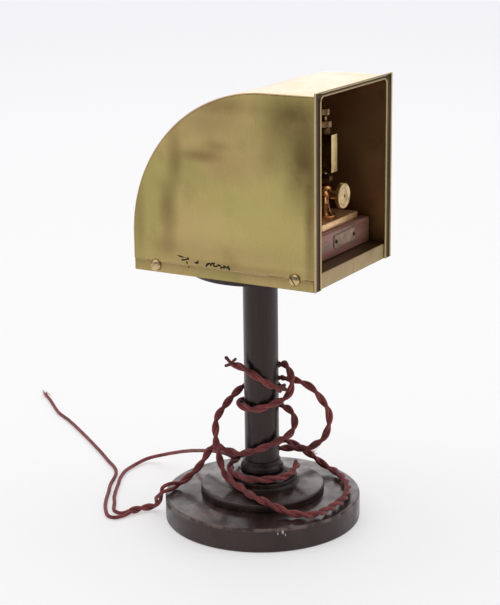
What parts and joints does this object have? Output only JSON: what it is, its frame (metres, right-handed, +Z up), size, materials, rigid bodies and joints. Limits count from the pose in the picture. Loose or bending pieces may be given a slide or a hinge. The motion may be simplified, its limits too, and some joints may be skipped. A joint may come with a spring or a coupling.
{
  "type": "telegraph sounder",
  "caption": "Telegraph sounder in an open-fronted curved brass sound hood on a round pedestal stand, with cotton-covered flex wound round the column.",
  "frame": {"origin": "centre of the base's underside, on the surface it stands on", "axes": "+Z up along the column, -Y towards the hood's open front, +X to the right seen from the open front"},
  "size_m": [0.3011, 0.5405, 0.4592],
  "materials": {
    "hood_brass": "aged sheet brass, satin",
    "dark_brass": "brown oxidised brass",
    "bright_brass": "worn machined brass",
    "copper_brass": "reddish worn brass",
    "japanned_iron": "black japanned",
    "ebonised_wood": "ebonised turned hardwood, glossy, worn brown in places",
    "black_column": "black japanned tube, semi gloss",
    "mahogany": "french polished, dusty",
    "name_plate": "grey-tan fibre, matte",
    "steel": "plain",
    "soft_iron": "plain",
    "coil_winding": "green silk-covered wire",
    "ebonite": "black ebonite",
    "cotton_flex": "burgundy braided cotton"
  },
  "bodies": {
    "stand_and_hood": {"base_disc": "ebonised_wood", "base_steps": "ebonised_wood", "bed_plate": "bright_brass", "coil_left": "coil_winding", "coil_right": "coil_winding", "column": "black_column", "column_collar": "black_column", "cord_bush": "ebonite", "flex_band": "cotton_flex", "flex_loop": "cotton_flex", "flex_wrap": "cotton_flex", "floor_band": "hood_brass", "floor_board": "mahogany", "floor_sheet": "dark_brass", "front_frame": "dark_brass", "hood_cheek_left": "hood_brass", "hood_cheek_right": "hood_brass", "hood_plate": "japanned_iron", "hood_screw_left_front": "bright_brass", "hood_screw_left_rear": "bright_brass", "hood_screw_right_front": "bright_brass", "hood_screw_right_rear": "bright_brass", "hood_wrapper": "hood_brass", "magnet_frame": "soft_iron", "name_plate": "name_plate", "name_screw_left": "bright_brass", "name_screw_right": "bright_brass", "pivot_standard": "bright_brass", "plate_screw_1": "dark_brass", "plate_screw_2": "dark_brass", "plate_screw_3": "dark_brass", "sounder_base": "mahogany", "sounding_bar": "bright_brass", "strand_far": "cotton_flex", "strand_near": "cotton_flex", "tension_pillar": "copper_brass", "tension_spring": "steel", "terminal_post_left": "bright_brass", "terminal_post_right": "bright_brass"},
    "lever": {"lever": "bright_brass", "armature": "soft_iron"},
    "tension_nut": {"tension_nut": "bright_brass"},
    "tension_rod": {"tension_rod": "steel"},
    "stop_screw": {"stop_screw": "bright_brass"},
    "lock_nut": {"lock_nut": "bright_brass"},
    "terminal_nut_left": {"terminal_nut_left": "bright_brass"},
    "terminal_nut_right": {"terminal_nut_right": "bright_brass"}
  },
  "joints": [
    {"name": "lever_rock", "type": "hinge", "parent": "stand_and_hood", "child": "lever", "pos_m": [0.021, 0.033, 0.3599], "axis": [1, 0, 0], "range_deg": [0, 0.6], "stiffness_Nm_per_rad": 0.05, "springref_deg": -2.86},
    {"name": "tension_nut_turn", "type": "hinge", "parent": "stand_and_hood", "child": "tension_nut", "pos_m": [0.021, -0.0704, 0.344], "axis": [0, 1, 0], "range_deg": [-360, 360]},
    {"name": "tension_rod_draw", "type": "slide", "parent": "stand_and_hood", "child": "tension_rod", "axis": [0, 1, 0], "range_m": [-0.0009, 0.0009], "deforming": ["tension_spring"]},
    {"name": "stop_screw_turn", "type": "hinge", "parent": "stand_and_hood", "child": "stop_screw", "pos_m": [0.021, -0.063, 0.405], "axis": [0, 0, 1], "range_deg": [-180, 180]},
    {"name": "lock_nut_turn", "type": "hinge", "parent": "stand_and_hood", "child": "lock_nut", "pos_m": [0.021, -0.063, 0.4103], "axis": [0, 0, 1], "range_deg": [-180, 180]},
    {"name": "terminal_nut_left_turn", "type": "hinge", "parent": "stand_and_hood", "child": "terminal_nut_left", "pos_m": [0.004, 0.054, 0.3241], "axis": [0, 0, 1], "range_deg": [-360, 360]},
    {"name": "terminal_nut_right_turn", "type": "hinge", "parent": "stand_and_hood", "child": "terminal_nut_right", "pos_m": [0.038, 0.054, 0.3241], "axis": [0, 0, 1], "range_deg": [-360, 360]}
  ],
  "couplings": [
    {"joint": "tension_rod_draw", "follows": "tension_nut_turn", "m_per_rad": 0.000127}
  ]
}
